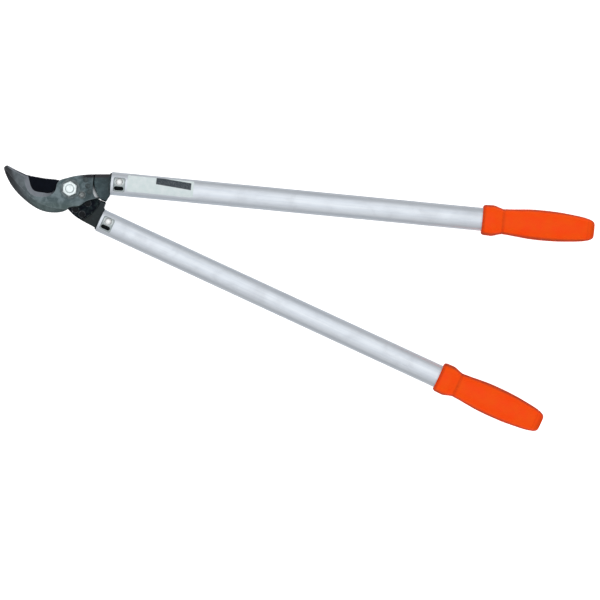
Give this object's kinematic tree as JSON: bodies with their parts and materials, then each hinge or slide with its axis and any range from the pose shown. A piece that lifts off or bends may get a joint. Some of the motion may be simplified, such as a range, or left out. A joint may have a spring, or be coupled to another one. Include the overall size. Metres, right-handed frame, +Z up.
{
  "type": "bypass loppers",
  "caption": "Two-handed bypass loppers: a hooked counter blade and a curved cutting blade on one pivot bolt, with oval tube handles and flanged grips.",
  "frame": {"origin": "on the pivot axis at the underside of the pivot bolt head, the plane the part rests on", "axes": "+X along the upper handle towards its grip, +Y outwards from the upper handle, +Z up along the pivot axis to the nut"},
  "size_m": [0.8022, 0.299, 0.033],
  "materials": {
    "hook_steel": "forged steel, phosphated grey, ground inner bevel",
    "blade_coat": "dark non-stick coating, satin, bare bevel",
    "upper_arm_paint": "grey-teal enamel on a forging, satin",
    "lower_arm_paint": "black enamel on a forging, satin",
    "rivet_steel": "steel rivet heads, zinc plated and dulled",
    "black_rivet": "blackened rivet, satin",
    "bright_steel": "bright zinc plated steel, turned",
    "bush_steel": "ground steel sleeve",
    "lock_plate_steel": "stamped sheet, brushed",
    "buffer_rubber": "black rubber, matt",
    "tube_aluminium": "satin anodised aluminium, fine lengthwise grain",
    "tube_rivet_steel": "bright rivet",
    "label_film": "pale film with a plain dark bar",
    "plug_plastic": "black moulded plastic",
    "grip_plastic": "orange moulded plastic, satin, fine grain"
  },
  "bodies": {
    "hook_side": {"hook_blade": "hook_steel", "upper_arm": "upper_arm_paint", "hook_rivets": "rivet_steel", "pivot_bolt": "bright_steel", "pivot_nut": "bright_steel", "pivot_bush": "bush_steel", "rear_washer": "bright_steel", "lock_plate": "lock_plate_steel", "lock_screw": "bright_steel", "upper_buffer": "buffer_rubber", "upper_tube": "tube_aluminium", "upper_tube_rivet": "tube_rivet_steel", "tube_label": "label_film", "upper_tube_plug": "plug_plastic", "upper_grip": "grip_plastic"},
    "blade_side": {"cutting_blade": "blade_coat", "lower_arm": "lower_arm_paint", "blade_rivets": "black_rivet", "lower_buffer": "buffer_rubber", "lower_tube": "tube_aluminium", "lower_tube_rivet": "tube_rivet_steel", "lower_tube_plug": "plug_plastic", "lower_grip": "grip_plastic"}
  },
  "joints": [
    {"name": "jaw_pivot", "type": "hinge", "parent": "hook_side", "child": "blade_side", "pos_m": [0, 0, 0.012], "axis": [0, 0, -1], "range_deg": [0, 55]}
  ]
}
